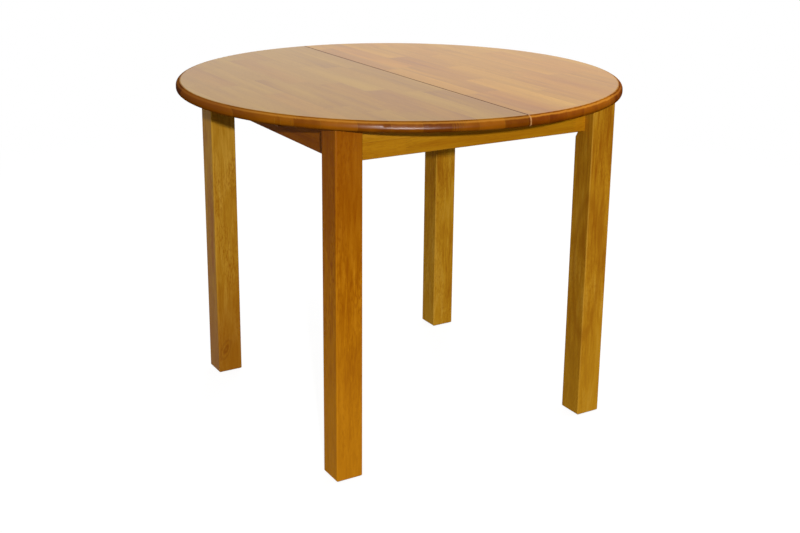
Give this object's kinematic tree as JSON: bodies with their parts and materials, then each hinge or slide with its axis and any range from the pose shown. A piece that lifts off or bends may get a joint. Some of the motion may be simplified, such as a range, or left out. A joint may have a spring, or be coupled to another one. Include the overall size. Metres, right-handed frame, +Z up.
{
  "type": "butterfly leaf table",
  "caption": "Round wooden dining table on square legs; its split top slides apart on runners over a folded leaf stored inside the frame.",
  "frame": {"origin": "on the floor under the middle of the closed top", "axes": "+Z up; the halves slide apart along X; the split runs along Y, with the front of the table towards -Y"},
  "size_m": [1.0002, 1, 0.77],
  "materials": {
    "stained_wood": "honey stain under satin lacquer, finger-jointed staves",
    "plain_wood": "planed and bare",
    "zinc_steel": "bright zinc plate",
    "brass": "satin",
    "felt": "pressed felt",
    "glide_plastic": "moulded"
  },
  "bodies": {
    "frame": {"leg_front_left": "stained_wood", "leg_front_right": "stained_wood", "leg_back_left": "stained_wood", "leg_back_right": "stained_wood", "apron_front": "stained_wood", "apron_back": "stained_wood", "apron_left": "stained_wood", "apron_right": "stained_wood", "corner_block_front_left": "plain_wood", "corner_block_front_right": "plain_wood", "corner_block_back_left": "plain_wood", "corner_block_back_right": "plain_wood", "hanger_bolts": "zinc_steel", "bolt_washers": "zinc_steel", "bolt_nuts": "zinc_steel", "foot_glides": "glide_plastic", "slide_rail_front": "plain_wood", "slide_rail_back": "plain_wood", "leaf_bearer_left": "plain_wood", "leaf_bearer_right": "plain_wood", "leaf_rest": "plain_wood", "leaf_rest_felt": "felt", "pivot_bracket_left": "zinc_steel", "pivot_bracket_right": "zinc_steel", "pivot_pin_left": "zinc_steel", "pivot_pin_right": "zinc_steel"},
    "left_half": {"top_left": "stained_wood", "runner_left_front": "plain_wood", "runner_left_back": "plain_wood", "stop_block_left": "stained_wood", "top_dowels": "plain_wood", "lock_plate_front": "zinc_steel", "lock_plate_back": "zinc_steel", "lock_rivet_front": "zinc_steel", "lock_rivet_back": "zinc_steel"},
    "right_half": {"top_right": "stained_wood", "runner_right_front": "plain_wood", "runner_right_back": "plain_wood", "stop_block_right": "stained_wood", "lock_keeper_front": "zinc_steel", "lock_keeper_back": "zinc_steel"},
    "front_lock": {"lock_lever_front": "zinc_steel"},
    "back_lock": {"lock_lever_back": "zinc_steel"},
    "leaf": {"leaf_upper": "stained_wood", "leaf_lower": "stained_wood", "leaf_dowels": "plain_wood", "leaf_hinge_plates": "brass", "leaf_hinge_links": "brass", "pivot_lug_left": "zinc_steel", "pivot_lug_right": "zinc_steel"}
  },
  "joints": [
    {"name": "left_half_slide", "type": "slide", "parent": "frame", "child": "left_half", "axis": [-1, 0, 0], "range_m": [0, 0.19]},
    {"name": "right_half_slide", "type": "slide", "parent": "frame", "child": "right_half", "axis": [1, 0, 0], "range_m": [0, 0.19]},
    {"name": "front_lock_turn", "type": "hinge", "parent": "left_half", "child": "front_lock", "pos_m": [-0.022, -0.41, 0.7442], "axis": [0, 0, 1], "range_deg": [0, 90]},
    {"name": "back_lock_turn", "type": "hinge", "parent": "left_half", "child": "back_lock", "pos_m": [-0.022, 0.41, 0.7442], "axis": [0, 0, 1], "range_deg": [-90, 0]},
    {"name": "leaf_pivot", "type": "hinge", "parent": "frame", "child": "leaf", "pos_m": [0, -0.125, 0.74], "axis": [1, 0, 0], "range_deg": [0, 2]}
  ]
}
